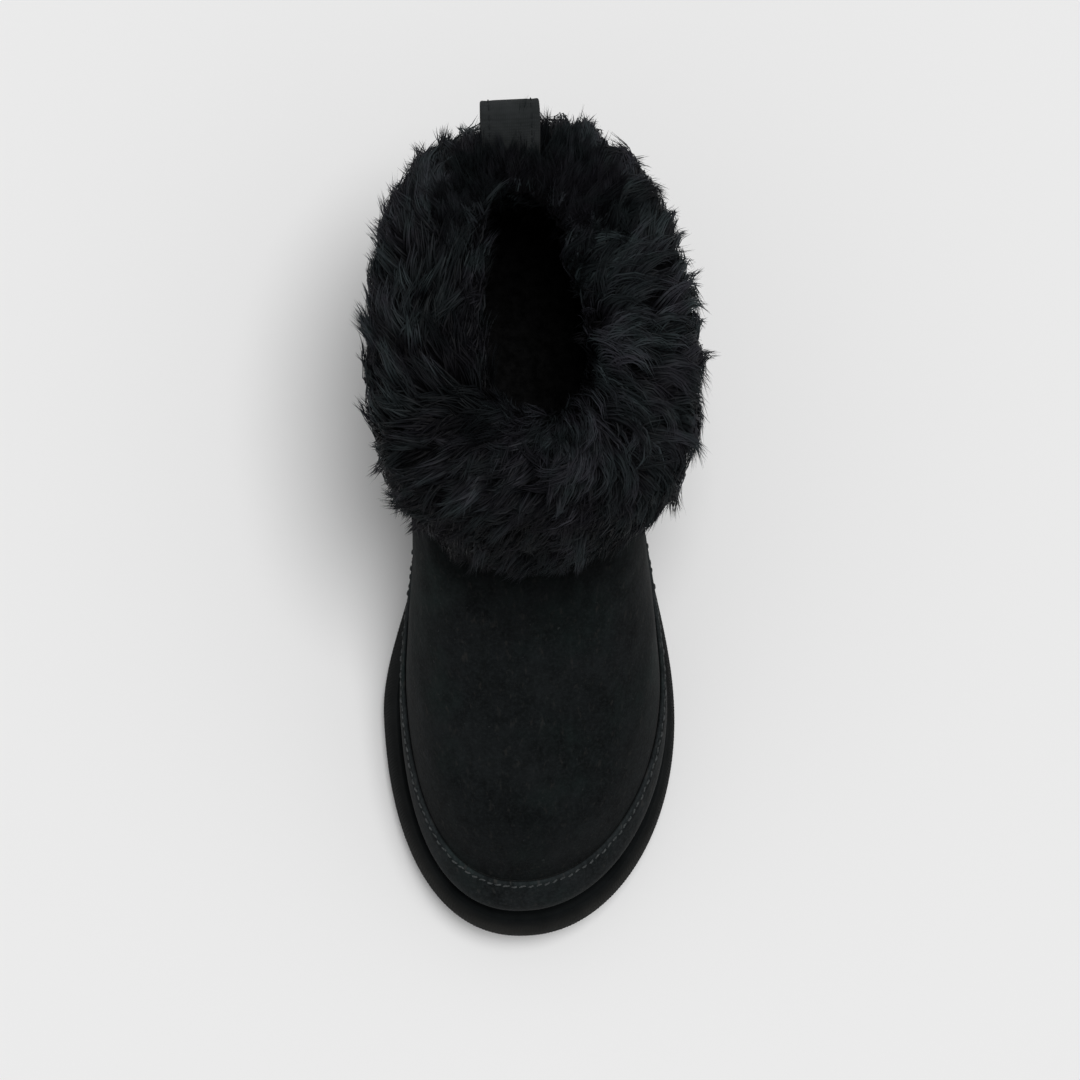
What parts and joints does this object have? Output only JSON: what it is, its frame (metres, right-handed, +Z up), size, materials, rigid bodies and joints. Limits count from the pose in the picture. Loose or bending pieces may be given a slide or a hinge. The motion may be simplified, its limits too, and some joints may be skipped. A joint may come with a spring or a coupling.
{
  "type": "sheepskin ankle boot",
  "caption": "Low pull-on winter ankle boot for the left foot: suede upper with a deep fur collar, a suede band round the foot and a thick flared sole.",
  "frame": {"origin": "middle of the underside of the bounding box, on the floor", "axes": "toe to -Y, heel to +Y, outer side of the foot to +X, +Z up"},
  "size_m": [0.1058, 0.2738, 0.1697],
  "materials": {
    "sole": "matte moulded foam rubber, finely ribbed side wall",
    "fleece": "short dense black sheep's fleece",
    "suede": "brushed black suede, matte",
    "suede_band": "brushed black suede with a stitched upper edge",
    "fur": "long black sheepskin fur in soft locks, slight sheen",
    "webbing": "matte black woven tape",
    "thread": "waxed charcoal sewing thread"
  },
  "bodies": {
    "root": {"sole": "sole", "insole": "fleece", "upper": "suede", "mudguard": "suede_band", "fur_cuff": "fur", "pull_tab": "webbing"}
  },
  "joints": []
}
